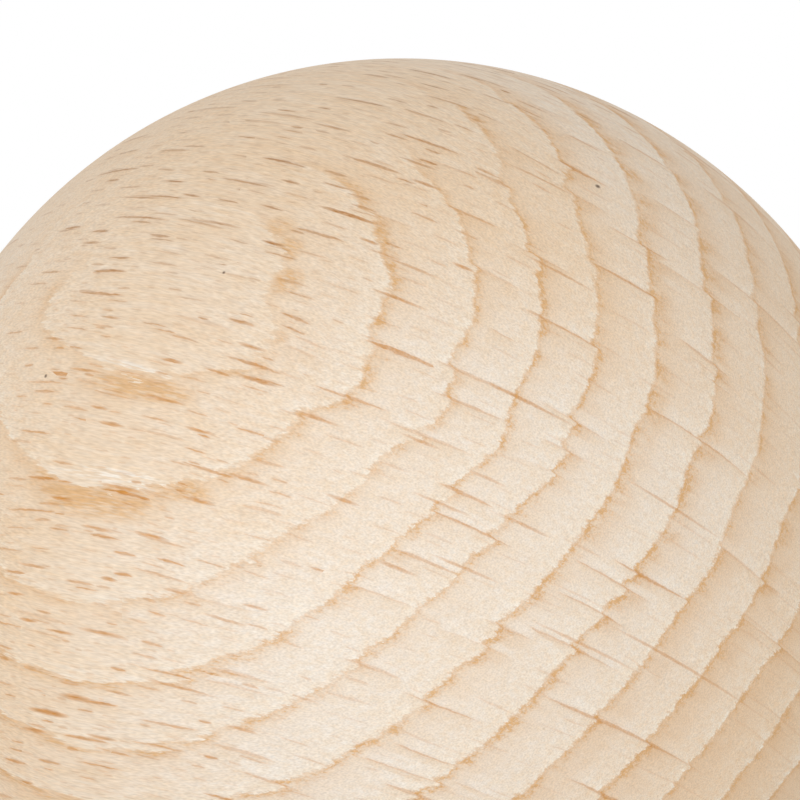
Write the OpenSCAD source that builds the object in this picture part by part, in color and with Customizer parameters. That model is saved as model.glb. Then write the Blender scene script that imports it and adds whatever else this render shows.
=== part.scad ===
// Wooden ball.
// A solid ball turned and sanded from one piece of beech, with no bore, no flat and no stem.
// All sizes are in millimetres. The origin is the ball's centre, and +Z is up.

/* [Ball] */
// Diameter of the ball
ball_d = 60; // [20:1:120]

/* [Look] */
// Colour of the bare wood
wood_colour = "#F0D9B8"; // ["#F0D9B8":Beech, "#E9C79B":Steamed beech, "#F3E6CC":Maple, "#9C6B43":Walnut]

/* [Hidden] */
// Facets around the ball
$fn = 120;

// The whole ball is one sphere about its own centre.
module ball() {
    color(wood_colour)
        sphere(d = ball_d);
}

ball();
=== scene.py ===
"""Dresses the wooden ball: a hand-sanded beech ball on a pale studio floor."""

import math

import bmesh
import bpy
from mathutils import Matrix, Vector, noise


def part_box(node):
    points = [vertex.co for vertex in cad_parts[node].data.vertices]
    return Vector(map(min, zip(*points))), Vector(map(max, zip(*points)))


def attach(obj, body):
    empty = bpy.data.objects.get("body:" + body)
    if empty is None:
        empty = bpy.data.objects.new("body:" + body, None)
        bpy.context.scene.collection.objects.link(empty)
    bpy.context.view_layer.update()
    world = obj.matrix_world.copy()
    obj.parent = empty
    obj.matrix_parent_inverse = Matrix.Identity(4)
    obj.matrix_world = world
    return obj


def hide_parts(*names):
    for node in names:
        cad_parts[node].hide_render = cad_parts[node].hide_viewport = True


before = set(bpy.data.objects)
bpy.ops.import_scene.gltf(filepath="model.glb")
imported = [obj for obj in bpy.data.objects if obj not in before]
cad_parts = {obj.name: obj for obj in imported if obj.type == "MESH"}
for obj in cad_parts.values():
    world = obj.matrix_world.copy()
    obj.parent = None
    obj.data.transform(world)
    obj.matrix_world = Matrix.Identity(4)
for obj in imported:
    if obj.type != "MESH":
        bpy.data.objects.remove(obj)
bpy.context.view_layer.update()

bl_info = {
    "name": "Wooden Ball",
    "version": (1, 0, 0),
    "blender": (4, 5, 0),
    "location": "3D Viewport > Sidebar > Wooden Ball",
    "description": "Models a turned beech ball and the plain studio that it is shown in",
    "category": "Add Mesh",
}

MM = 0.001
BALL_LOW, BALL_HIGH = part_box("ball")
BALL_RADIUS = (BALL_HIGH.z - BALL_LOW.z) / 2
# Keeps the ball's mesh just inside its box
CLEARANCE = 0.005 * MM
# Sanding leaves hollows about this far across, which only a finger feels
HOLLOW_SPACING = 12 * MM
# The floor turns from paper to plain white between these distances from its middle, in metres, starting
# at that share of white
PAPER_RADIUS = 0.04
WHITE_RADIUS = 0.16
WHITE_UNDER_BALL = 0.55
# Width of the camera's sensor in millimetres
SENSOR_WIDTH = 36.0

# Inputs go by number where Blender gives several the same name. Map Range takes the range that it reads
# at 1 and 2 and the range that it gives at 3 and 4, or at 7 to 10 for vectors, with its value at 0 or 6.
# Mix takes its factor at 0, and what it mixes at 2 and 3 for numbers and at 6 and 7 for colours. Float
# Curve takes its value at 1.
MATH = "ShaderNodeMath"
VECTOR_MATH = "ShaderNodeVectorMath"
NOISE = "ShaderNodeTexNoise"
MAP_RANGE = "ShaderNodeMapRange"
MIX = "ShaderNodeMix"
SEPARATE = "ShaderNodeSeparateXYZ"
COMBINE = "ShaderNodeCombineXYZ"
FLOAT_CURVE = "ShaderNodeFloatCurve"


def linear(hex_colour):
    """Turns an sRGB hex colour into linear red, green and blue."""
    values = [int(hex_colour[i:i + 2], 16) / 255 for i in (1, 3, 5)]
    return [v / 12.92 if v <= 0.04045 else ((v + 0.055) / 1.055) ** 2.4 for v in values]


WHITE = (*linear("#FFFFFF"), 1)


def add_node(tree, kind, settings=None, links=None, output=0):
    """Adds one node with its settings, and fills its inputs with values or sockets.

    Returns one of its outputs, or the node itself where output is None.
    """
    node = tree.nodes.new(kind)
    for name, value in (settings or {}).items():
        setattr(node, name, value)
    for name, value in (links or {}).items():
        if isinstance(value, bpy.types.NodeSocket):
            tree.links.new(value, node.inputs[name])
        else:
            node.inputs[name].default_value = value
    return node if output is None else node.outputs[output]


def draw_curve(socket, points):
    """Gives a Float Curve node straight stretches between points whose x and y run from 0 to 1.

    Returns the node's output, which it is given.
    """
    mapping = socket.node.mapping
    curve = mapping.curves[0]
    while len(curve.points) < len(points):
        curve.points.new(0.5, 0.5)
    for point, place in zip(curve.points, sorted(points)):
        point.location = place
        point.handle_type = "VECTOR"
    mapping.update()
    return socket


# ---------------------------------------------------------------- settings


class BallShape(bpy.types.PropertyGroup):
    """Sizes of the ball."""

    radius: bpy.props.FloatProperty(
        name="Radius",
        description="Radius of the ball at its proudest point",
        default=BALL_RADIUS,
        unit="LENGTH",
    )
    hollow: bpy.props.FloatProperty(
        name="Sanding hollows",
        description="How far hand sanding took the surface in where it took most",
        default=0.06 * MM,
        unit="LENGTH",
    )
    cells: bpy.props.IntProperty(
        name="Cells",
        description="Faces along one edge of the cube that is blown up into the ball",
        default=128,
        min=16,
        max=128,
    )


class BeechLook(bpy.types.PropertyGroup):
    """Grain and colours of the beech."""

    heading: bpy.props.FloatProperty(
        name="Fibre heading",
        description="Direction of the level fibres, counted from +X towards +Y",
        default=math.radians(-38.9),
        subtype="ANGLE",
    )
    bark_climb: bpy.props.FloatProperty(
        name="Bark climb",
        description="How steeply the direction towards the bark climbs from level",
        default=math.radians(38.0),
        subtype="ANGLE",
    )
    earlywood: bpy.props.FloatVectorProperty(
        name="Earlywood",
        description="Pale wood that grows in spring",
        default=linear("#F0D6B6"),
        subtype="COLOR",
        min=0,
        max=1,
    )
    # The pale earlywood goes on the middle of the ball's lamp-facing side, partly as the wood's paler years
    # and partly as painted sheen
    pale_earlywood: bpy.props.FloatVectorProperty(
        name="Pale earlywood",
        description="Earlywood of the palest years",
        default=linear("#F3E7D7"),
        subtype="COLOR",
        min=0,
        max=1,
    )
    springwood: bpy.props.FloatVectorProperty(
        name="Springwood",
        description="Palest wood, straight after a ring's edge",
        default=linear("#F8EAD5"),
        subtype="COLOR",
        min=0,
        max=1,
    )
    summerwood: bpy.props.FloatVectorProperty(
        name="Summerwood",
        description="Pinkish tan wood in the second half of each ring",
        default=linear("#E7C7A3"),
        subtype="COLOR",
        min=0,
        max=1,
    )
    latewood: bpy.props.FloatVectorProperty(
        name="Latewood",
        description="Tan line that closes each year's ring",
        default=linear("#DFB27D"),
        subtype="COLOR",
        min=0,
        max=1,
    )
    flat_latewood: bpy.props.FloatVectorProperty(
        name="Flat latewood",
        description="Golden tan where a ring's edge lies flat in the surface",
        default=linear("#E3BA8A"),
        subtype="COLOR",
        min=0,
        max=1,
    )
    ray: bpy.props.FloatVectorProperty(
        name="Rays",
        description="Dark flecks of the rays",
        default=linear("#CC8A3A"),
        subtype="COLOR",
        min=0,
        max=1,
    )
    # A darker, duller copy of the ray colour for the top of the ball: painted shade
    shaded_ray: bpy.props.FloatVectorProperty(
        name="Crown rays",
        description="Duller flecks on the far side of the crown",
        default=linear("#AC7438"),
        subtype="COLOR",
        min=0,
        max=1,
    )
    lifted: bpy.props.FloatVectorProperty(
        name="Lifted fibres",
        description="Whitish wood where sanding lifted the fibres",
        default=linear("#FDF6EA"),
        subtype="COLOR",
        min=0,
        max=1,
    )
    pinhole: bpy.props.FloatVectorProperty(
        name="Pinholes",
        description="Inside of the few dark pinholes",
        default=linear("#5E4632"),
        subtype="COLOR",
        min=0,
        max=1,
    )


class StudioSetup(bpy.types.PropertyGroup):
    """Camera, lights and floor."""

    climb: bpy.props.FloatProperty(
        name="Camera climb",
        description="How far the camera stands above level",
        default=math.radians(14.4),
        subtype="ANGLE",
    )
    distance: bpy.props.FloatProperty(
        name="Camera distance",
        description="From the ball's centre to the camera",
        default=0.6,
        unit="LENGTH",
    )
    frame_share: bpy.props.FloatProperty(
        name="Frame share",
        description="Half the width of the camera's view as a share of the ball's radius in it",
        default=0.7825,
    )
    aim_up: bpy.props.FloatProperty(
        name="Aim up",
        description="How far above the ball's centre the camera aims, as a share of the ball's radius",
        default=0.3302,
    )
    aim_right: bpy.props.FloatProperty(
        name="Aim right",
        description="How far right of the ball's centre the camera aims, as a share of the ball's radius",
        default=-0.0027,
    )
    softbox_side: bpy.props.FloatProperty(
        name="Softbox side",
        description="Length of each side of the square lamp in front of the ball",
        default=0.7,
        unit="LENGTH",
    )
    softbox_place: bpy.props.FloatVectorProperty(
        name="Softbox place",
        description="Where the lamp stands; it faces the ball's centre",
        default=(-0.25, -1.0, 0.28),
        subtype="TRANSLATION",
        unit="LENGTH",
    )
    softbox_power: bpy.props.FloatProperty(
        name="Softbox power",
        description="Power of the lamp in watts",
        default=4.3,
        unit="POWER",
    )
    room_light: bpy.props.FloatProperty(
        name="Room light",
        description="Strength of the even light from all around",
        default=0.65,
    )
    floor_radius: bpy.props.FloatProperty(
        name="Floor radius",
        description="Radius of the round floor",
        default=6.0,
        unit="LENGTH",
    )


# ---------------------------------------------------------------- beech

# Distance of the outermost ring's edge from the ball's centre, and the width of each year's ring from
# the bark side inwards, in millimetres; the tree's first years are alike
OUTER_EDGE = 31.4
RING_WIDTHS = [1.7, 2.1, 2.6, 2.5, 2.5, 3.0, 3.5, 3.5, 3.5, 3.5]
FIRST_YEARS_WIDTH = 3.7
FIRST_YEARS = 9
# The rings are worked out as far as this from the ball's centre, either way
RING_SPAN = 34.0
# How far the rings swell towards the bark, in millimetres, at a distance around the tree. The first list
# is for wood up to the first distance below from the ball's centre, and the second, which a broad ray
# pinches at about -1, from the second distance on; between the two, one turns into the other
DEEP_SWELL_TO = 12.0
BARK_SWELL_FROM = 27.0
DEEP_SWELL = [
    (-30, -3.5), (-22, -2.2), (-17, -1.2), (-8, -1.2), (-5, -0.6), (0, -0.3), (3, 0.3), (8, 0.8),
    (30, 1.0),
]
BARK_SWELL = [
    (-30, -3.5), (-19.5, -1.8), (-15.5, -0.6), (-12, -1.1), (-7, -1.2), (-4, -0.7), (-2, -0.9),
    (0, -0.8), (2, 0.1), (6, 0.5), (9, 1.0), (30, 1.0),
]
# The farthest place around the tree in those lists, and the most swell that their curves can hold
SWELL_REACH = 30.0
SWELL_SPAN = 4.0
# How much the end of each year stands out, at its distance from the ball's centre in millimetres
YEAR_STRENGTH = [
    (-34, 0.7), (2, 0.75), (6, 1.0), (9, 0.7), (13, 1.0), (17, 1.0), (19, 0.75), (22.5, 1.0),
    (25, 0.7), (27.5, 0.9), (29.5, 0.4), (34, 0.3),
]
# How strong each part of a year's ring is, from its start at 0 to its edge on the bark side at 1
SPRING_CURVE = [(0, 1), (0.1, 0.45), (0.4, 0), (1, 0)]
BAND_CURVE = [(0, 0), (0.38, 0), (0.6, 0.9), (0.96, 1), (1, 0.6)]
FADE_CURVE = [(0, 0), (0.4, 0), (0.6, 0.2), (0.8, 0.7), (0.9, 1), (1, 0.2)]
LINE_CURVE = [(0, 0), (0.75, 0), (0.9, 0.6), (0.95, 1), (1, 0)]
# The rays that stand out most, listed one by one: place along the fibres and around the tree, half length
# and half thickness in millimetres, and how dark they are
BROAD_RAYS = [
    (1.1, -7.9, 1.7, 0.10, 0.5), (8.0, -10.6, 1.9, 0.13, 0.9), (10.0, -9.3, 0.6, 0.11, 0.7),
    (5.2, -7.4, 0.8, 0.11, 0.8), (13.2, -6.4, 1.5, 0.11, 0.7), (7.3, -0.8, 0.9, 0.12, 0.6),
    (8.4, 1.0, 1.2, 0.14, 0.7), (2.9, 1.2, 0.8, 0.11, 0.7), (3.3, 3.5, 1.6, 0.10, 0.6),
    (0.4, 5.5, 1.0, 0.12, 0.6), (6.2, 4.7, 1.0, 0.10, 0.6), (12.2, 2.0, 1.3, 0.13, 0.65),
    (9.7, 6.5, 1.3, 0.12, 0.6), (7.2, 8.4, 1.1, 0.12, 0.6), (2.2, 8.8, 1.5, 0.11, 0.6),
    (-1.8, 10.0, 0.9, 0.12, 0.7), (1.2, 11.2, 1.2, 0.11, 0.6), (4.8, 10.9, 1.2, 0.11, 0.6),
    (2.3, 16.3, 1.7, 0.13, 0.6), (14.8, 5.8, 0.9, 0.11, 0.6), (17.4, 1.1, 1.0, 0.11, 0.5),
    (18.0, 8.1, 1.0, 0.13, 0.6), (20.8, 6.6, 1.5, 0.11, 0.55), (19.2, 3.9, 1.3, 0.11, 0.55),
    (20.6, 1.5, 0.9, 0.11, 0.5), (22.6, 3.0, 1.1, 0.12, 0.55), (20.4, -3.6, 2.4, 0.12, 0.7),
    (19.2, -8.8, 0.7, 0.11, 0.6), (18.4, -12.0, 1.8, 0.10, 0.55), (14.9, -9.8, 0.6, 0.11, 0.7),
    (12.8, -8.6, 1.6, 0.10, 0.5), (10.1, -14.3, 0.9, 0.11, 0.7), (8.7, -15.6, 1.2, 0.10, 0.6),
    (2.5, -16.6, 1.4, 0.11, 0.5), (14.0, -17.7, 1.8, 0.10, 0.5), (25.5, 7.3, 1.7, 0.12, 0.5),
    (28.0, 5.4, 1.6, 0.12, 0.55), (26.8, -2.1, 1.5, 0.11, 0.5), (0.7, 19.6, 1.5, 0.18, 0.65),
    (-1.7, 20.5, 1.6, 0.16, 0.8), (-3.0, 21.4, 1.0, 0.12, 0.7), (2.2, 21.1, 1.1, 0.10, 0.6),
    (-0.7, 16.7, 1.1, 0.09, 0.6), (-3.2, 16.4, 0.8, 0.10, 0.65), (-3.2, 13.7, 1.3, 0.09, 0.55),
    (7.4, 17.8, 2.2, 0.09, 0.55), (10.9, 18.7, 0.9, 0.11, 0.5), (3.5, 18.9, 1.0, 0.08, 0.5),
    (9.9, 13.9, 1.3, 0.09, 0.45), (6.8, 13.3, 0.8, 0.09, 0.55), (-4.4, 15.2, 0.8, 0.09, 0.65),
    (2.5, 13.6, 0.6, 0.10, 0.6), (-2.6, -0.7, 0.8, 0.08, 0.55), (3.4, -11.8, 0.7, 0.11, 0.6),
    (-5.9, -9.0, 1.7, 0.08, 0.5), (-7.4, -5.5, 0.9, 0.10, 0.5), (-9.6, -3.4, 1.0, 0.08, 0.55),
    (-6.3, 1.0, 1.0, 0.08, 0.5), (-2.8, 2.7, 1.3, 0.09, 0.55), (-0.8, 4.7, 0.7, 0.09, 0.6),
]
# Stretches where a ring's edge lies flat in the surface and its brown shows broad, written the same way
# with half width for half thickness
BROWN_STRETCHES = [
    (1.5, 3.0, 4.5, 0.9, 1.4), (0.3, 9.6, 5.6, 1.5, 1.2), (5.8, 8.0, 3.0, 0.8, 1.0),
    (6.4, 0.5, 1.7, 0.6, 0.8), (4.9, -8.5, 1.2, 0.9, 0.8), (6.2, -7.3, 1.1, 1.0, 1.0),
    (7.3, -5.2, 1.1, 1.1, 1.0), (5.4, -11.3, 2.2, 0.7, 0.6), (9.9, -9.2, 1.3, 1.5, 0.6),
    (-8.2, -1.5, 0.9, 2.0, 0.35), (-6.0, 1.6, 1.8, 0.7, 0.4), (4.5, -2.6, 2.5, 0.4, 0.3),
]
# Where the sanding lifted pale fibres beside such a stretch
LIFTED_STRETCHES = [(0.8, 2.1, 3.6, 0.4, 0.6), (1.8, 8.2, 5.0, 0.55, 0.6)]
# Dark pinholes: place along the fibres and around the tree, and radius
PINHOLES = [(15.8, -19.0, 0.16), (-5.8, 3.3, 0.12), (3.4, -4.8, 0.1)]
# The rays that a cell pattern lays out, from the broadest to the finest, in millimetres: the spacing of
# their cells along the fibres, towards the bark and around the tree, the (least, most) half sizes, half
# the length towards the bark, and a shift that keeps the families apart
RAY_FAMILIES = [
    {
        "spacing": (6.2, 20.0, 2.1), "height": (0.9, 2.5), "thickness": (0.06, 0.14), "reach": 12.0,
        "seed": (3.0, 7.0, 5.0),
    },
    {
        "spacing": (2.7, 12.0, 0.95), "height": (0.4, 1.2), "thickness": (0.04, 0.1), "reach": 7.0,
        "seed": (31.0, 17.0, 53.0),
    },
    {
        "spacing": (1.6, 7.0, 0.5), "height": (0.2, 0.7), "thickness": (0.015, 0.045), "reach": 4.0,
        "seed": (71.0, 27.0, 13.0),
    },
]
# Size and reach, along the same three directions, of the slow wandering of the fibres and of the fraying
# of each ray's edges
WANDER_SIZE = (14.0, 9.0, 7.0)
WANDER_REACH = (0.0, 0.6, 1.2)
FRAY_SIZE = (0.6, 0.5, 0.16)
FRAY_REACH = (0.0, 0.0, 0.14)
# How far the middle of the tree lay below the ball's centre, in millimetres, and the distance from that
# middle to which a place around the tree is brought before the rays are laid out evenly
PITH_DEPTH = 80.0
FAN_RADIUS = 100.0


def depth_at(along, around):
    """How far out towards the bark the ball's surface lies at that place, in millimetres."""
    return math.sqrt((BALL_RADIUS / MM) ** 2 - along ** 2 - around ** 2)


def ring_edges():
    """Distance of each ring's outer edge from the ball's centre, from the bark side inwards."""
    edges = [OUTER_EDGE]
    for width in RING_WIDTHS + [FIRST_YEARS_WIDTH] * FIRST_YEARS:
        edges.append(edges[-1] - width)
    return edges


def wood_matrix(look):
    """Turns row coordinates into wood ones: x along the fibres, y towards the bark, z around the tree."""
    fibre = Vector((math.cos(look.heading), math.sin(look.heading), 0))
    level_bark = Vector((fibre.y, -fibre.x, 0))
    bark = level_bark * math.cos(look.bark_climb) + Vector((0, 0, math.sin(look.bark_climb)))
    return Matrix((fibre, bark, fibre.cross(bark)))


def shaken(tree, place, size, reach, detail=1.0):
    """Moves every point by a noise of that size, at most about reach / 2 along each direction."""
    scaled = add_node(tree, VECTOR_MATH, {"operation": "DIVIDE"}, {0: place, 1: size})
    shake = add_node(tree, NOISE, {}, {"Vector": scaled, "Scale": 1.0, "Detail": detail}, 1)
    centred = add_node(tree, VECTOR_MATH, {"operation": "SUBTRACT"}, {0: shake, 1: (0.5, 0.5, 0.5)})
    return add_node(tree, VECTOR_MATH, {"operation": "MULTIPLY_ADD"}, {0: centred, 1: reach, 2: place})


def swell(tree, around, points):
    """The swell of the rings, in millimetres, at a distance around the tree."""
    across = add_node(tree, MAP_RANGE, {}, {0: around, 1: -SWELL_REACH, 2: SWELL_REACH})
    wave = draw_curve(add_node(tree, FLOAT_CURVE, {}, {1: across}), [
        ((x + SWELL_REACH) / (2 * SWELL_REACH), 0.5 + y / (2 * SWELL_SPAN)) for x, y in points
    ])
    return add_node(tree, MAP_RANGE, {}, {0: wave, 3: -SWELL_SPAN, 4: SWELL_SPAN})


def ring_fraction(tree, wood, axes, fuzz, dip):
    """How far through its year's ring the wood is: 0 in spring, 1 at the edge on the bark side.

    fuzz frays the edges by whole fibres, and dip bends them where a broad ray crosses. Returns how much
    the year stands out too.
    """
    _, out, around = axes
    bark_side = add_node(tree, MAP_RANGE, {}, {0: out, 1: DEEP_SWELL_TO, 2: BARK_SWELL_FROM})
    deep_swell = swell(tree, around, DEEP_SWELL)
    bark_swell = swell(tree, around, BARK_SWELL)
    both = add_node(tree, MIX, {"data_type": "FLOAT"}, {0: bark_side, 2: deep_swell, 3: bark_swell})
    depth = add_node(tree, MATH, {"operation": "SUBTRACT"}, {0: out, 1: both})
    # each ring wavers a little by itself, and its edge has teeth a few tenths of a millimetre apart. Both
    # are less on the bark side, where the surface runs along the rings, and the teeth on the upper side too
    wavering = add_node(tree, MAP_RANGE, {}, {0: out, 1: 28.5, 2: 23.0, 3: 0.4, 4: 1.0})
    torn = add_node(tree, MAP_RANGE, {}, {0: around, 1: -6.0, 2: 3.0, 3: 0.7, 4: 1.0})
    torn_inside = add_node(tree, MAP_RANGE, {}, {0: out, 1: 28.5, 2: 23.0, 3: 0.7, 4: 1.0})
    torn = add_node(tree, MATH, {"operation": "MULTIPLY"}, {0: torn, 1: torn_inside})
    scaled = add_node(tree, VECTOR_MATH, {"operation": "DIVIDE"}, {0: wood, 1: (16.0, 2.2, 2.6)})
    waver = add_node(tree, NOISE, {}, {"Vector": scaled, "Scale": 1.0})
    waver = add_node(tree, MAP_RANGE, {}, {0: waver, 3: -0.35, 4: 0.35})
    waver = add_node(tree, MATH, {"operation": "ADD"}, {0: waver, 1: dip})
    scaled = add_node(tree, VECTOR_MATH, {"operation": "DIVIDE"}, {0: wood, 1: (3.0, 5.0, 0.4)})
    teeth = add_node(tree, NOISE, {}, {"Vector": scaled, "Scale": 1.0, "Detail": 3.0, "Roughness": 0.6})
    teeth = add_node(tree, MAP_RANGE, {}, {0: teeth, 3: -0.3, 4: 0.3})
    teeth = add_node(tree, MATH, {"operation": "ADD"}, {0: teeth, 1: fuzz})
    depth = add_node(tree, MATH, {"operation": "MULTIPLY_ADD"}, {0: waver, 1: wavering, 2: depth})
    depth = add_node(tree, MATH, {"operation": "MULTIPLY_ADD"}, {0: teeth, 1: torn, 2: depth})
    share = add_node(tree, MAP_RANGE, {}, {0: depth, 1: -RING_SPAN, 2: RING_SPAN})
    edges = ring_edges()
    count = len(edges)
    years = draw_curve(add_node(tree, FLOAT_CURVE, {}, {1: share}), [
        ((edge + RING_SPAN) / (2 * RING_SPAN), (count - 1 - i) / count)
        for i, edge in enumerate(edges)
    ])
    years = add_node(tree, MATH, {"operation": "MULTIPLY"}, {0: years, 1: float(count)})
    strength = draw_curve(add_node(tree, FLOAT_CURVE, {}, {1: share}), [
        ((x + RING_SPAN) / (2 * RING_SPAN), y) for x, y in YEAR_STRENGTH
    ])
    return add_node(tree, MATH, {"operation": "FRACT"}, {0: years}), strength


def edges_shown(tree, axes):
    """How much a ring's edge shows: it fades on the far side of the ball's crown."""
    along, out, around = axes
    crown = add_node(tree, MAP_RANGE, {}, {0: around, 1: -6.0, 2: -1.0})
    flank = add_node(tree, MAP_RANGE, {}, {0: along, 1: 1.0, 2: 8.0, 3: 0.12, 4: 1.0})
    near_side = add_node(tree, MATH, {"operation": "MAXIMUM"}, {0: crown, 1: flank})
    over_top = add_node(tree, MAP_RANGE, {}, {0: around, 1: -18.0, 2: -14.0})
    inner_years = add_node(tree, MAP_RANGE, {}, {0: out, 1: 24.0, 2: 20.0})
    over_top = add_node(tree, MATH, {"operation": "MAXIMUM"}, {0: over_top, 1: inner_years})
    return add_node(tree, MATH, {"operation": "MULTIPLY"}, {0: near_side, 1: over_top})


def ring_parts(tree, wood, axes, fraction, year_strength, grainy):
    """How strong the parts of a year's ring are: its brown band, its springwood and its latewood."""
    along, out, around = axes
    spring, band, fade, line = [
        draw_curve(add_node(tree, FLOAT_CURVE, {}, {1: fraction}), points)
        for points in (SPRING_CURVE, BAND_CURVE, FADE_CURVE, LINE_CURVE)
    ]
    # the wide rings nearer the middle of the tree end in a broad band, those nearer the bark in a thin line
    scaled = add_node(tree, VECTOR_MATH, {"operation": "DIVIDE"}, {0: wood, 1: (9.0, 3.0, 2.4)})
    clouds = add_node(tree, NOISE, {}, {"Vector": scaled, "Scale": 1.0, "Detail": 3.0})
    wide_rings = add_node(tree, MAP_RANGE, {}, {0: out, 1: 13.5, 2: 9.0, 4: 0.42})
    sunny = add_node(tree, MAP_RANGE, {}, {0: around, 1: -6.0, 2: 2.0, 3: 0.4, 4: 1.0})
    wide_rings = add_node(tree, MATH, {"operation": "MULTIPLY"}, {0: wide_rings, 1: sunny})
    cloudy = add_node(tree, MAP_RANGE, {}, {0: clouds, 1: 0.36, 2: 0.62, 3: 0.25, 4: 1.0})
    browned = add_node(tree, MATH, {"operation": "MULTIPLY"}, {0: band, 1: cloudy})
    browned = add_node(tree, MATH, {"operation": "MULTIPLY"}, {0: browned, 1: wide_rings})
    trail = add_node(tree, MAP_RANGE, {}, {0: around, 1: 8.0, 2: -4.0, 3: 0.3, 4: 0.65})
    deep = add_node(tree, MAP_RANGE, {}, {0: out, 1: 24.0, 2: 15.0, 3: 0.4, 4: 1.0})
    trail = add_node(tree, MATH, {"operation": "MULTIPLY"}, {0: trail, 1: deep})
    late = add_node(tree, MATH, {"operation": "MULTIPLY"}, {0: fade, 1: trail})
    thin = add_node(tree, MAP_RANGE, {}, {0: around, 1: 5.0, 2: -1.0, 3: 0.85, 4: 1.0})
    line = add_node(tree, MATH, {"operation": "MULTIPLY"}, {0: line, 1: thin})
    late = add_node(tree, MATH, {"operation": "MAXIMUM"}, {0: late, 1: line})
    late = add_node(tree, MATH, {"operation": "MULTIPLY"}, {0: late, 1: year_strength})
    # both the latewood and the springwood come in patches
    scaled = add_node(tree, VECTOR_MATH, {"operation": "DIVIDE"}, {0: wood, 1: (3.0, 2.0, 0.9)})
    patches = add_node(tree, NOISE, {}, {"Vector": scaled, "Scale": 1.0})
    patchy = add_node(tree, MAP_RANGE, {}, {0: patches, 1: 0.34, 2: 0.6, 3: 0.45, 4: 1.15})
    late = add_node(tree, MATH, {"operation": "MULTIPLY"}, {0: late, 1: patchy})
    blotched = add_node(tree, MAP_RANGE, {}, {0: patches, 1: 0.35, 2: 0.6, 3: 0.75, 4: 0.25})
    # the brown sits in single fibres, more of them the closer the edge
    late = add_node(tree, MATH, {"operation": "MULTIPLY_ADD", "use_clamp": True}, {
        0: grainy, 1: late, 2: late,
    })
    # the edges fade beyond the crown, and on the lower side they stand out more, the nearer the middle
    # of the tree
    shown = edges_shown(tree, axes)
    bold = add_node(tree, MAP_RANGE, {}, {0: out, 1: 24.0, 2: 11.0, 3: 0.85, 4: 1.35})
    lower = add_node(tree, MAP_RANGE, {}, {0: around, 1: -3.0, 2: 3.0})
    bold = add_node(tree, MIX, {"data_type": "FLOAT"}, {0: lower, 2: 1.0, 3: bold})
    late = add_node(tree, MATH, {"operation": "MULTIPLY"}, {0: late, 1: shown})
    late = add_node(tree, MATH, {"operation": "MULTIPLY"}, {0: late, 1: bold})
    spring = add_node(tree, MATH, {"operation": "MULTIPLY"}, {0: spring, 1: shown})
    spring = add_node(tree, MATH, {"operation": "MULTIPLY"}, {0: spring, 1: bold})
    spring = add_node(tree, MATH, {"operation": "MULTIPLY"}, {0: spring, 1: blotched})
    # springwood is fainter over the top and on the bark side
    over = add_node(tree, MAP_RANGE, {}, {0: around, 1: -16.0, 2: -8.0, 3: 0.35, 4: 1.0})
    spring = add_node(tree, MATH, {"operation": "MULTIPLY"}, {0: spring, 1: over})
    bark_side = add_node(tree, MAP_RANGE, {}, {0: out, 1: 28.0, 2: 29.3, 3: 1.0, 4: 0.4})
    spring = add_node(tree, MATH, {"operation": "MULTIPLY"}, {0: spring, 1: bark_side})
    spring = add_node(tree, MATH, {"operation": "MULTIPLY_ADD"}, {0: grainy, 1: spring, 2: spring})
    return browned, spring, late


def paleness_and_sheen(tree, axes):
    """How pale the earlywood is: most in the years between the ball's middle and its bark side, which faces
    the lamp; partly the wood's own paler years, partly a painted sheen.
    """
    along, out, around = axes
    near_bark = add_node(tree, MAP_RANGE, {}, {0: out, 1: 30.0, 2: 21.0, 3: 0.4, 4: 1.0})
    below = add_node(tree, MAP_RANGE, {}, {0: around, 1: 4.0, 2: 12.0})
    near_bark = add_node(tree, MATH, {"operation": "MAXIMUM"}, {0: near_bark, 1: below})
    pale = add_node(tree, MAP_RANGE, {}, {0: out, 1: 0.0, 2: 12.0})
    pale = add_node(tree, MATH, {"operation": "MULTIPLY"}, {0: pale, 1: near_bark})
    # the wood stays warm over the top, at the end of the fibres and low down at their other end; over the
    # top the warmth is partly painted shade
    warm_tone_and_shade = add_node(tree, MAP_RANGE, {}, {0: around, 1: -13.0, 2: -4.0, 3: 0.15, 4: 1.0})
    inside = add_node(tree, MAP_RANGE, {}, {0: out, 1: 20.0, 2: 16.0, 4: 0.55})
    warm_tone_and_shade = add_node(tree, MATH, {"operation": "MAXIMUM"}, {0: warm_tone_and_shade, 1: inside})
    pale = add_node(tree, MATH, {"operation": "MULTIPLY"}, {0: pale, 1: warm_tone_and_shade})
    crosswise = add_node(tree, MAP_RANGE, {}, {0: along, 1: 15.0, 2: 21.0, 3: 1.0, 4: 0.8})
    pale = add_node(tree, MATH, {"operation": "MULTIPLY"}, {0: pale, 1: crosswise})
    low = add_node(tree, MAP_RANGE, {}, {0: around, 1: 6.0, 2: 12.0, 3: 0.5, 4: 0.9})
    left = add_node(tree, MAP_RANGE, {}, {0: along, 1: 13.0, 2: -5.0})
    low = add_node(tree, MATH, {"operation": "MULTIPLY"}, {0: low, 1: left})
    low = add_node(tree, MATH, {"operation": "SUBTRACT"}, {0: 1.0, 1: low})
    return add_node(tree, MATH, {"operation": "MULTIPLY"}, {0: pale, 1: low})


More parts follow.
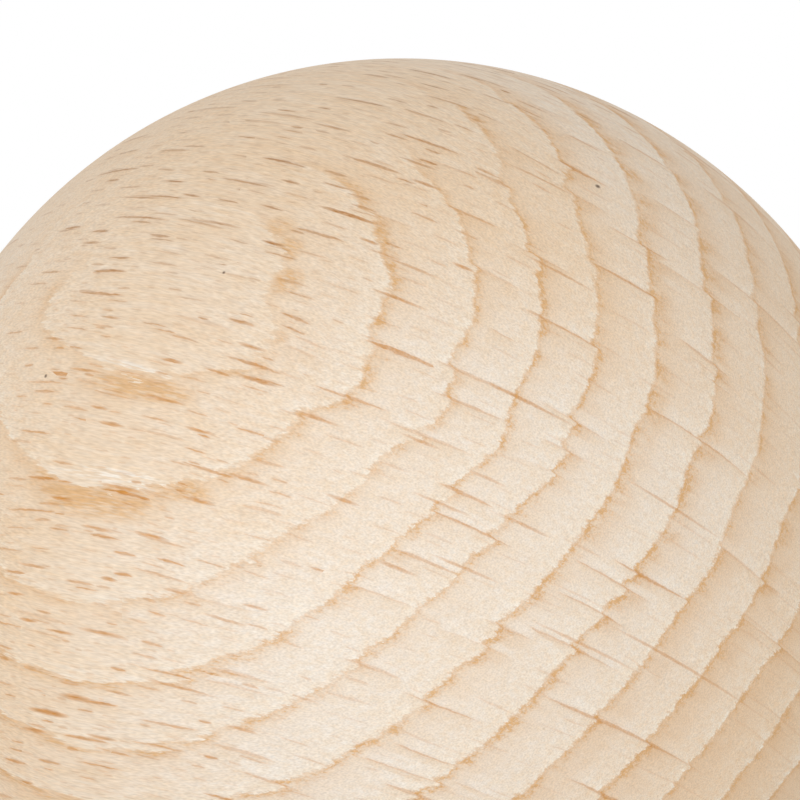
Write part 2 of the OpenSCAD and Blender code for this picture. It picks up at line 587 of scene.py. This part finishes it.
def ray_cells(tree, wood, spacing, height, thickness, reach, seed):
    """One family of rays: upright lenses that run towards the bark, one in each cell of that spacing.

    height and thickness are the (least, most) half sizes and reach is half the length towards the bark,
    in millimetres. Returns the room left in the lens, the distance from its middle plane, its half
    thickness and a chance.
    """
    moved = add_node(tree, VECTOR_MATH, {"operation": "ADD"}, {0: wood, 1: seed})
    cells = add_node(tree, VECTOR_MATH, {"operation": "DIVIDE"}, {0: moved, 1: spacing})
    nearest = add_node(tree, "ShaderNodeTexVoronoi", {}, {
        "Vector": cells, "Scale": 1.0, "Randomness": 0.92,
    }, None)
    middle = nearest.outputs["Position"]
    local = add_node(tree, VECTOR_MATH, {"operation": "SUBTRACT"}, {0: cells, 1: middle})
    local = add_node(tree, VECTOR_MATH, {"operation": "MULTIPLY"}, {0: local, 1: spacing})
    parts = add_node(tree, SEPARATE, {}, {0: local}, None)
    chances = add_node(tree, SEPARATE, {}, {0: nearest.outputs["Color"]}, None)
    half_height = add_node(tree, MAP_RANGE, {}, {0: chances.outputs[1], 3: height[0], 4: height[1]})
    half_width = add_node(tree, MAP_RANGE, {}, {0: chances.outputs[2], 3: thickness[0], 4: thickness[1]})
    up = add_node(tree, MATH, {"operation": "DIVIDE"}, {0: parts.outputs[0], 1: half_height})
    up = add_node(tree, MATH, {"operation": "MULTIPLY"}, {0: up, 1: up})
    on = add_node(tree, MATH, {"operation": "DIVIDE"}, {0: parts.outputs[1], 1: reach})
    on = add_node(tree, MATH, {"operation": "MULTIPLY"}, {0: on, 1: on})
    on = add_node(tree, MATH, {"operation": "MULTIPLY_ADD"}, {0: on, 1: on, 2: up})
    room = add_node(tree, MATH, {"operation": "SUBTRACT", "use_clamp": True}, {0: 1.0, 1: on})
    return room, parts.outputs[2], half_width, chances.outputs[0]


def ray_marks(tree, rays, late, strongest):
    """How dark a family of rays is: most in its thick ones, and where a ring ends."""
    room, around, half_width, chance = rays
    swollen = add_node(tree, MATH, {"operation": "MULTIPLY_ADD"}, {0: late, 1: 0.7, 2: 0.85})
    wide = add_node(tree, MATH, {"operation": "MULTIPLY"}, {0: half_width, 1: swollen})
    aside = add_node(tree, MATH, {"operation": "ABSOLUTE"}, {0: around})
    wide = add_node(tree, MATH, {"operation": "MULTIPLY"}, {0: wide, 1: room})
    inside = add_node(tree, MATH, {"operation": "SUBTRACT"}, {0: wide, 1: aside})
    smooth = {"interpolation_type": "SMOOTHSTEP"}
    core = add_node(tree, MAP_RANGE, smooth, {0: inside, 1: -0.045, 2: 0.05})
    halo = add_node(tree, MAP_RANGE, smooth, {0: inside, 1: -0.2, 2: 0.02, 4: 0.2})
    mark = add_node(tree, MATH, {"operation": "MAXIMUM"}, {0: core, 1: halo})
    shaded = add_node(tree, MAP_RANGE, {}, {0: around, 1: -0.1, 2: 0.1, 3: 1.0, 4: 0.75})
    faded = add_node(tree, MAP_RANGE, {}, {0: room, 2: 0.5})
    strength = add_node(tree, MAP_RANGE, {}, {0: chance, 3: 0.2, 4: strongest})
    mark = add_node(tree, MATH, {"operation": "MULTIPLY"}, {0: mark, 1: shaded})
    mark = add_node(tree, MATH, {"operation": "MULTIPLY"}, {0: mark, 1: faded})
    return add_node(tree, MATH, {"operation": "MULTIPLY"}, {0: mark, 1: strength})


def placed_marks(tree, place, marks, outer, inner):
    """How strong the nearest of some placed lenses is, fading between those two shares of their size.

    Three lenses are worked out at a time, one in each part of a vector.
    """
    parts = add_node(tree, SEPARATE, {}, {0: place}, None)
    along, out, around = parts.outputs[:3]
    along = add_node(tree, COMBINE, {}, {0: along, 1: along, 2: along})
    around = add_node(tree, COMBINE, {}, {0: around, 1: around, 2: around})
    multiply_add = {"operation": "MULTIPLY_ADD"}
    strongest = (-1.0,) * 3
    for i in range(0, len(marks), 3):
        three = (marks[i:i + 3] + marks[i:i + 1] * 2)[:3]
        places, sides, half_lengths, half_widths, strengths = zip(*three)
        sides = [z * FAN_RADIUS / (PITH_DEPTH + depth_at(x, z)) for x, z in zip(places, sides)]
        slopes = [strength / (inner ** 2 - outer ** 2) for strength in strengths]
        off_along = add_node(tree, VECTOR_MATH, multiply_add, {
            0: along, 1: [1 / v for v in half_lengths], 2: [-x / v for x, v in zip(places, half_lengths)],
        })
        off_around = add_node(tree, VECTOR_MATH, multiply_add, {
            0: around, 1: [1 / v for v in half_widths], 2: [-z / v for z, v in zip(sides, half_widths)],
        })
        reach = add_node(tree, VECTOR_MATH, {"operation": "MULTIPLY"}, {0: off_along, 1: off_along})
        reach = add_node(tree, VECTOR_MATH, multiply_add, {0: off_around, 1: off_around, 2: reach})
        shares = add_node(tree, VECTOR_MATH, multiply_add, {
            0: reach, 1: slopes, 2: [-slope * outer ** 2 for slope in slopes],
        })
        strongest = add_node(tree, VECTOR_MATH, {"operation": "MAXIMUM"}, {0: shares, 1: strongest})
    one, two, last = add_node(tree, SEPARATE, {}, {0: strongest}, None).outputs[:3]
    strongest = add_node(tree, MATH, {"operation": "MAXIMUM"}, {0: one, 1: two})
    strongest = add_node(tree, MATH, {"operation": "MAXIMUM"}, {0: strongest, 1: last})
    # full in the middle of a lens, and only on the bark side of the ball
    full = max(strength for *_, strength in marks)
    capped = add_node(tree, MAP_RANGE, {}, {0: strongest, 2: full, 4: full})
    bark_side = add_node(tree, MAP_RANGE, {}, {0: out, 1: -6.0, 2: 0.0})
    return add_node(tree, MATH, {"operation": "MULTIPLY"}, {0: capped, 1: bark_side})


def ray_layer(tree, along, late, fibres, steady, broad, middle, fine):
    """How dark the rays are, all families together."""
    ends = add_node(tree, MATH, {"operation": "ABSOLUTE"}, {0: along})
    # the finer a ray is, the less it shows where it is cut across
    fine_seen = add_node(tree, MAP_RANGE, {}, {0: ends, 1: 8.0, 2: 16.0, 3: 1.0, 4: 0.2})
    middle_seen = add_node(tree, MAP_RANGE, {}, {0: ends, 1: 10.0, 2: 18.0, 3: 1.0, 4: 0.4})
    all_seen = add_node(tree, MAP_RANGE, {}, {0: ends, 1: 6.0, 2: 18.0, 3: 1.0, 4: 0.75})
    fine_marks = ray_marks(tree, fine, late, strongest=0.45)
    marks = add_node(tree, MATH, {"operation": "MULTIPLY"}, {0: fine_marks, 1: fine_seen})
    middle_marks = ray_marks(tree, middle, late, strongest=0.9)
    middle_marks = add_node(tree, MATH, {"operation": "MULTIPLY"}, {0: middle_marks, 1: middle_seen})
    marks = add_node(tree, MATH, {"operation": "MAXIMUM"}, {0: marks, 1: middle_marks})
    broad_marks = ray_marks(tree, broad, late, strongest=0.95)
    marks = add_node(tree, MATH, {"operation": "MAXIMUM"}, {0: marks, 1: broad_marks})
    placed = placed_marks(tree, steady, BROAD_RAYS, outer=1.1, inner=0.5)
    marks = add_node(tree, MATH, {"operation": "MAXIMUM"}, {0: marks, 1: placed})
    # and every ray is broken up by the fibres that weave through it
    broken = add_node(tree, MAP_RANGE, {}, {0: fibres, 1: 0.3, 2: 0.7, 3: 0.7, 4: 1.25})
    marks = add_node(tree, MATH, {"operation": "MULTIPLY"}, {0: marks, 1: broken})
    return add_node(tree, MATH, {"operation": "MULTIPLY", "use_clamp": True}, {0: marks, 1: all_seen})


def pinholes(tree, wood):
    """Where the few dark pinholes are."""
    holes = 0.0
    for along, around, radius in PINHOLES:
        centre = (along, depth_at(along, around), around)
        reach = add_node(tree, VECTOR_MATH, {"operation": "DISTANCE"}, {0: wood, 1: centre}, "Value")
        hole = add_node(tree, MAP_RANGE, {}, {0: reach, 1: radius * 1.3, 2: radius * 0.5, 4: 0.9})
        holes = add_node(tree, MATH, {"operation": "MAXIMUM"}, {0: holes, 1: hole})
    return holes


def beech_material(look):
    """Bare beech, turned and hand sanded, with no oil or lacquer.

    To the eye: a matt, creamy wood with a fine even grain. Each year's ring ends in a thin tan line, and
    hundreds of broad rays show as short dark flecks where their ends are cut and as long thin lines where
    they are cut along. Sanding leaves the fibres slightly proud, which breaks up the light.
    """
    material = bpy.data.materials.new("bare_sanded_beech")
    material.use_nodes = True
    tree = material.node_tree
    tree.nodes.clear()
    place = add_node(tree, "ShaderNodeTexCoord", output="Object")
    wood = add_node(tree, "ShaderNodeMapping", {}, {
        "Vector": place, "Rotation": wood_matrix(look).to_euler("XYZ"), "Scale": (1 / MM,) * 3,
    })
    axes = add_node(tree, SEPARATE, {}, {0: wood}, None).outputs[:3]
    along, out, around = axes
    # rays draw together towards the middle of the tree
    fan = add_node(tree, MATH, {"operation": "ADD"}, {0: out, 1: PITH_DEPTH})
    fan = add_node(tree, MATH, {"operation": "DIVIDE"}, {0: FAN_RADIUS, 1: fan})
    fan = add_node(tree, MATH, {"operation": "MULTIPLY"}, {0: around, 1: fan})
    fanned = add_node(tree, COMBINE, {}, {0: along, 1: out, 2: fan})
    wandering = shaken(tree, fanned, WANDER_SIZE, WANDER_REACH)
    frayed = shaken(tree, wandering, FRAY_SIZE, FRAY_REACH, detail=2.0)
    steady = shaken(tree, fanned, FRAY_SIZE, FRAY_REACH, detail=2.0)

    broad, middle, fine = [ray_cells(tree, frayed, **family) for family in RAY_FAMILIES]
    # fibres and pores are a few hundredths of a millimetre thick, and drawn twice as coarse to show
    scaled = add_node(tree, VECTOR_MATH, {"operation": "DIVIDE"}, {0: wandering, 1: (1.5, 0.13, 0.13)})
    fibres = add_node(tree, NOISE, {}, {"Vector": scaled, "Scale": 1.0, "Roughness": 0.65})
    scaled = add_node(tree, VECTOR_MATH, {"operation": "DIVIDE"}, {0: wood, 1: (0.6, 0.08, 0.08)})
    pores = add_node(tree, NOISE, {}, {"Vector": scaled, "Scale": 1.0, "Detail": 0.0})
    scaled = add_node(tree, VECTOR_MATH, {"operation": "DIVIDE"}, {0: wandering, 1: (4.0, 0.35, 0.35)})
    bundles = add_node(tree, NOISE, {}, {"Vector": scaled, "Scale": 1.0, "Detail": 3.0, "Roughness": 0.6})
    grain = add_node(tree, MATH, {"operation": "ADD"}, {0: bundles, 1: fibres})
    grainy = add_node(tree, MAP_RANGE, {"clamp": False}, {0: grain, 1: 0.8, 2: 1.2, 3: -0.45, 4: 0.45})
    fuzz = add_node(tree, MAP_RANGE, {"clamp": False}, {0: grain, 1: 0.5, 2: 1.5, 3: -0.25, 4: 0.25})
    # a ring's edge bends back where a broad ray crosses it, and comes up again beyond
    aside = add_node(tree, MATH, {"operation": "ABSOLUTE"}, {0: broad[1]})
    near = add_node(tree, MAP_RANGE, {}, {0: aside, 2: 1.2, 3: 1.0, 4: 0.0})
    step = add_node(tree, MAP_RANGE, {}, {0: broad[1], 1: -0.05, 2: 0.05, 3: -0.35, 4: 0.4})
    held = add_node(tree, MATH, {"operation": "MINIMUM"}, {0: broad[0], 1: 0.6})
    dip = add_node(tree, MATH, {"operation": "MULTIPLY"}, {0: near, 1: step})
    dip = add_node(tree, MATH, {"operation": "MULTIPLY"}, {0: dip, 1: held})
    # and the wood has another tone on its two sides, most where the ray is cut along
    cut = add_node(tree, MAP_RANGE, {}, {0: along, 1: 8.0, 2: 18.0, 3: 1.0, 4: 1.7})
    cut = add_node(tree, MATH, {"operation": "MULTIPLY"}, {0: dip, 1: cut})
    side_tone = add_node(tree, MAP_RANGE, {"data_type": "FLOAT_VECTOR", "clamp": False}, {
        6: cut, 7: (-0.2,) * 3, 8: (0.2,) * 3, 9: (1.01, 1.025, 1.045), 10: (0.985, 0.965, 0.94),
    }, 1)

    fraction, year_strength = ring_fraction(tree, wood, axes, fuzz, dip)
    browned, spring, late = ring_parts(tree, wood, axes, fraction, year_strength, grainy)
    brown = placed_marks(tree, wandering, BROWN_STRETCHES, outer=0.95, inner=0.35)
    ring_half = add_node(tree, MAP_RANGE, {}, {0: fraction, 1: 0.2, 2: 0.7})
    brown = add_node(tree, MATH, {"operation": "MULTIPLY"}, {0: brown, 1: ring_half})
    brown_streaks = add_node(tree, MAP_RANGE, {}, {0: grain, 1: 0.8, 2: 1.15, 3: 0.1, 4: 1.0})
    brown = add_node(tree, MATH, {"operation": "MULTIPLY"}, {0: brown, 1: brown_streaks})
    lifted = placed_marks(tree, wandering, LIFTED_STRETCHES, outer=0.95, inner=0.35)
    pale_streaks = add_node(tree, MAP_RANGE, {}, {0: grain, 1: 0.95, 2: 1.1})
    lifted = add_node(tree, MATH, {"operation": "MULTIPLY"}, {0: lifted, 1: pale_streaks})
    # the pale earlywood mix is partly a painted sheen, and the warm earlywood left over the top is partly
    # painted shade
    colour = (*look.earlywood, 1)
    for share, wood_colour in (
        (paleness_and_sheen(tree, axes), look.pale_earlywood),
        (browned, look.summerwood),
        (spring, look.springwood),
        (brown, look.flat_latewood),
        (late, look.latewood),
        (lifted, look.lifted),
    ):
        colour = add_node(tree, MIX, {"data_type": "RGBA"}, {0: share, 6: colour, 7: (*wood_colour, 1)}, 2)

    marks = ray_layer(tree, along, late, fibres, steady, broad, middle, fine)
    # rays are painted duller over the top, towards the left end of the fibres, in a darker copy of the ray
    # colour: painted shade
    dull = add_node(tree, MAP_RANGE, {}, {0: around, 1: 3.0, 2: -6.0})
    dull_end = add_node(tree, MAP_RANGE, {}, {0: along, 1: 15.0, 2: 3.0})
    dull = add_node(tree, MATH, {"operation": "MULTIPLY"}, {0: dull, 1: dull_end})
    ray_colour = add_node(tree, MIX, {"data_type": "RGBA"}, {
        0: dull, 6: (*look.ray, 1), 7: (*look.shaded_ray, 1),
    }, 2)
    colour = add_node(tree, MIX, {"data_type": "RGBA"}, {0: marks, 6: colour, 7: ray_colour}, 2)

    fibre_tone = add_node(tree, MAP_RANGE, {"data_type": "FLOAT_VECTOR"}, {
        6: fibres, 7: (0.25,) * 3, 8: (0.75,) * 3, 9: (0.955, 0.92, 0.89), 10: (1.035, 1.055, 1.08),
    }, 1)
    bundle_tone = add_node(tree, MAP_RANGE, {"data_type": "FLOAT_VECTOR"}, {
        6: bundles, 7: (0.25,) * 3, 8: (0.75,) * 3, 9: (0.985, 0.94, 0.875), 10: (1.015, 1.05, 1.105),
    }, 1)
    for tone in (fibre_tone, bundle_tone, side_tone):
        colour = add_node(tree, VECTOR_MATH, {"operation": "MULTIPLY"}, {0: colour, 1: tone})
    # the pores, which the bump makes into hollows, are painted darker: painted shade of the fine relief
    pore_shade = add_node(tree, MAP_RANGE, {"clamp": False}, {0: pores, 1: 0.25, 2: 0.75, 3: 1.08, 4: 0.92})
    colour = add_node(tree, VECTOR_MATH, {"operation": "SCALE"}, {0: colour, "Scale": pore_shade})
    holes = pinholes(tree, wood)
    colour = add_node(tree, MIX, {"data_type": "RGBA"}, {0: holes, 6: colour, 7: (*look.pinhole, 1)}, 2)

    # bare sanded wood is matt: about 0.6, and a little less where fibres lie polished
    rough = add_node(tree, MAP_RANGE, {}, {0: fibres, 1: 0.2, 2: 0.8, 3: 0.66, 4: 0.56})
    height = add_node(tree, MATH, {"operation": "MULTIPLY_ADD"}, {0: pores, 1: -0.4, 2: fibres})
    bump = add_node(tree, "ShaderNodeBump", {}, {"Height": height, "Strength": 1.0, "Distance": 0.03 * MM})
    shader = add_node(tree, "ShaderNodeBsdfPrincipled", {}, {
        "Base Color": colour, "Roughness": rough, "Normal": bump,
    })
    add_node(tree, "ShaderNodeOutputMaterial", {}, {"Surface": shader}, None)
    return material


# ---------------------------------------------------------------- studio


def seen_directly(tree):
    """1 for what the camera sees straight on, in gloss or through glass, and 0 for light on its way."""
    path = add_node(tree, "ShaderNodeLightPath", output=None)
    seen = add_node(tree, MATH, {"operation": "MAXIMUM"}, {
        0: path.outputs["Is Camera Ray"], 1: path.outputs["Is Glossy Ray"],
    })
    return add_node(tree, MATH, {"operation": "MAXIMUM"}, {
        0: seen, 1: path.outputs["Is Transmission Ray"],
    })


def floor_material():
    """Pale matt paper: white far out, with the ball's shadow near it."""
    material = bpy.data.materials.new("white_paper")
    material.use_nodes = True
    tree = material.node_tree
    tree.nodes.clear()
    place = add_node(tree, "ShaderNodeTexCoord", output="Object")
    away = add_node(tree, VECTOR_MATH, {"operation": "LENGTH"}, {0: place}, "Value")
    far = add_node(tree, MAP_RANGE, {"interpolation_type": "SMOOTHSTEP"}, {
        0: away, 1: PAPER_RADIUS, 2: WHITE_RADIUS, 3: WHITE_UNDER_BALL, 4: 1.0,
    })
    white = add_node(tree, MATH, {"operation": "MULTIPLY"}, {0: far, 1: seen_directly(tree)})
    paper = add_node(tree, "ShaderNodeBsdfDiffuse", {}, {"Color": (*linear("#F1F1F1"), 1)})
    glow = add_node(tree, "ShaderNodeEmission", {}, {"Color": WHITE, "Strength": 1.0})
    mixed = add_node(tree, "ShaderNodeMixShader", {}, {0: white, 1: paper, 2: glow})
    add_node(tree, "ShaderNodeOutputMaterial", {}, {"Surface": mixed}, None)
    return material


def pale_world(room_light):
    """Even light from all around, seen as plain white."""
    world = bpy.data.worlds.new("pale_studio")
    world.use_nodes = True
    tree = world.node_tree
    tree.nodes.clear()
    strength = add_node(tree, MAP_RANGE, {}, {0: seen_directly(tree), 3: room_light, 4: 1.0})
    background = add_node(tree, "ShaderNodeBackground", {}, {"Color": WHITE, "Strength": strength})
    add_node(tree, "ShaderNodeOutputWorld", {}, {"Surface": background}, None)
    return world


# ---------------------------------------------------------------- operators


class MESH_OT_wooden_ball(bpy.types.Operator):
    """Adds the turned ball"""

    bl_idname = "mesh.wooden_ball"
    bl_label = "Turned Ball"

    def execute(self, context):
        shape = context.scene.ball_shape
        bm = bmesh.new()
        bmesh.ops.create_cube(bm, size=2.0)
        bmesh.ops.subdivide_edges(bm, edges=bm.edges[:], cuts=shape.cells - 1, use_grid_fill=True)
        for vert in bm.verts:
            spread = Vector([math.tan(c * math.pi / 4) for c in vert.co])
            out = spread.normalized()
            worn = 0.5 + 0.5 * noise.noise(out * (shape.radius / HOLLOW_SPACING))
            vert.co = out * (shape.radius - CLEARANCE - worn * shape.hollow)
        for face in bm.faces:
            face.smooth = True
        mesh = bpy.data.meshes.new("turned_ball")
        bm.to_mesh(mesh)
        bm.free()
        ball = bpy.data.objects.new("turned_ball", mesh)
        context.collection.objects.link(ball)
        mesh.materials.append(beech_material(context.scene.beech_look))
        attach(ball, "root")
        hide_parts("ball")
        return {"FINISHED"}


class OBJECT_OT_ball_studio(bpy.types.Operator):
    """Adds the floor, the lamp, the light from all around and the camera"""

    bl_idname = "object.ball_studio"
    bl_label = "Studio"

    def execute(self, context):
        setup = context.scene.studio_setup
        scene = context.scene
        scene.view_settings.view_transform = "Standard"

        bm = bmesh.new()
        bmesh.ops.create_circle(bm, cap_ends=True, segments=64, radius=setup.floor_radius)
        bmesh.ops.translate(bm, verts=bm.verts[:], vec=(0, 0, BALL_LOW.z))
        mesh = bpy.data.meshes.new("studio_floor")
        bm.to_mesh(mesh)
        bm.free()
        floor = bpy.data.objects.new("studio_floor", mesh)
        context.collection.objects.link(floor)
        mesh.materials.append(floor_material())

        scene.world = pale_world(setup.room_light)

        lamp = bpy.data.lights.new("front_softbox", "AREA")
        lamp.shape = "RECTANGLE"
        lamp.size = setup.softbox_side
        lamp.size_y = setup.softbox_side
        lamp.energy = setup.softbox_power
        lamp_object = bpy.data.objects.new("front_softbox", lamp)
        lamp_object.visible_camera = False
        context.collection.objects.link(lamp_object)
        place = Vector(setup.softbox_place)
        lamp_object.location = place
        lamp_object.rotation_euler = (-place).to_track_quat("-Z", "Y").to_euler()

        camera_data = bpy.data.cameras.new("camera")
        camera = bpy.data.objects.new("camera", camera_data)
        context.collection.objects.link(camera)
        scene.camera = camera
        tangent = BALL_RADIUS / math.sqrt(setup.distance ** 2 - BALL_RADIUS ** 2)
        camera_data.sensor_width = SENSOR_WIDTH
        camera_data.lens = SENSOR_WIDTH / 2 / (tangent * setup.frame_share)
        back = Vector((0, -math.cos(setup.climb), math.sin(setup.climb)))
        camera.location = back * setup.distance
        up = Vector((0, math.sin(setup.climb), math.cos(setup.climb)))
        right = Vector((1, 0, 0))
        aim = (up * setup.aim_up + right * setup.aim_right) * BALL_RADIUS
        camera.rotation_euler = (aim - camera.location).to_track_quat("-Z", "Y").to_euler()
        camera_data.clip_start = 0.01
        camera_data.clip_end = 100
        return {"FINISHED"}


class VIEW3D_PT_wooden_ball(bpy.types.Panel):
    """Sizes, colours and pieces of the ball"""

    bl_label = "Wooden Ball"
    bl_idname = "VIEW3D_PT_wooden_ball"
    bl_space_type = "VIEW_3D"
    bl_region_type = "UI"
    bl_category = "Wooden Ball"

    def draw(self, context):
        layout = self.layout
        for group in (context.scene.ball_shape, context.scene.beech_look, context.scene.studio_setup):
            for name in group.__annotations__:
                layout.prop(group, name)
        layout.operator(MESH_OT_wooden_ball.bl_idname)
        layout.operator(OBJECT_OT_ball_studio.bl_idname)


CLASSES = (
    BallShape,
    BeechLook,
    StudioSetup,
    MESH_OT_wooden_ball,
    OBJECT_OT_ball_studio,
    VIEW3D_PT_wooden_ball,
)


def register():
    for cls in CLASSES:
        bpy.utils.register_class(cls)
    bpy.types.Scene.ball_shape = bpy.props.PointerProperty(type=BallShape)
    bpy.types.Scene.beech_look = bpy.props.PointerProperty(type=BeechLook)
    bpy.types.Scene.studio_setup = bpy.props.PointerProperty(type=StudioSetup)


def unregister():
    del bpy.types.Scene.studio_setup
    del bpy.types.Scene.beech_look
    del bpy.types.Scene.ball_shape
    for cls in reversed(CLASSES):
        bpy.utils.unregister_class(cls)


def main():
    register()
    bpy.ops.object.ball_studio()
    bpy.ops.mesh.wooden_ball()


if __name__ == "__main__":
    main()
